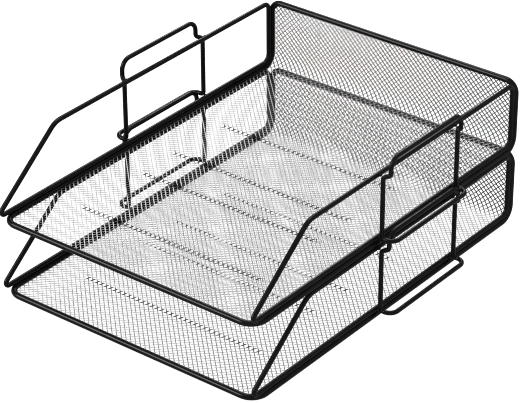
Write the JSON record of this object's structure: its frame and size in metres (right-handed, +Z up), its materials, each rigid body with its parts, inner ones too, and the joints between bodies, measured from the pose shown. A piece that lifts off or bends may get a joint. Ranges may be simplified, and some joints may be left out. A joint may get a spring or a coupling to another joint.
{
  "type": "stacking letter tray",
  "caption": "Two-tier stacking desk tray of black powder-coated wire and mesh, open at the front, its upper tray lifting off wire hook loops.",
  "frame": {"origin": "desk level, under the middle of the object's box", "axes": "+Z up, +X to the right seen from the open front, which faces -Y; +Y runs back to the mesh wall"},
  "size_m": [0.2854, 0.347, 0.1435],
  "materials": {
    "coated_wire": "black satin powder coat on round steel wire",
    "coated_mesh": "black satin powder coat on expanded steel mesh"
  },
  "bodies": {
    "lower_tray": {"lower_rim": "coated_wire", "lower_mesh_sheet": "coated_mesh", "lower_side_frame_left": "coated_wire", "lower_side_frame_right": "coated_wire", "lower_hanger_left": "coated_wire", "lower_hanger_right": "coated_wire"},
    "upper_tray": {"upper_rim": "coated_wire", "upper_mesh_sheet": "coated_mesh", "upper_side_frame_left": "coated_wire", "upper_side_frame_right": "coated_wire", "upper_hanger_left": "coated_wire", "upper_hanger_right": "coated_wire"}
  },
  "joints": [
    {"name": "upper_tray_lift", "type": "slide", "parent": "lower_tray", "child": "upper_tray", "axis": [0, 0, 1], "range_m": [0, 0.04]}
  ]
}
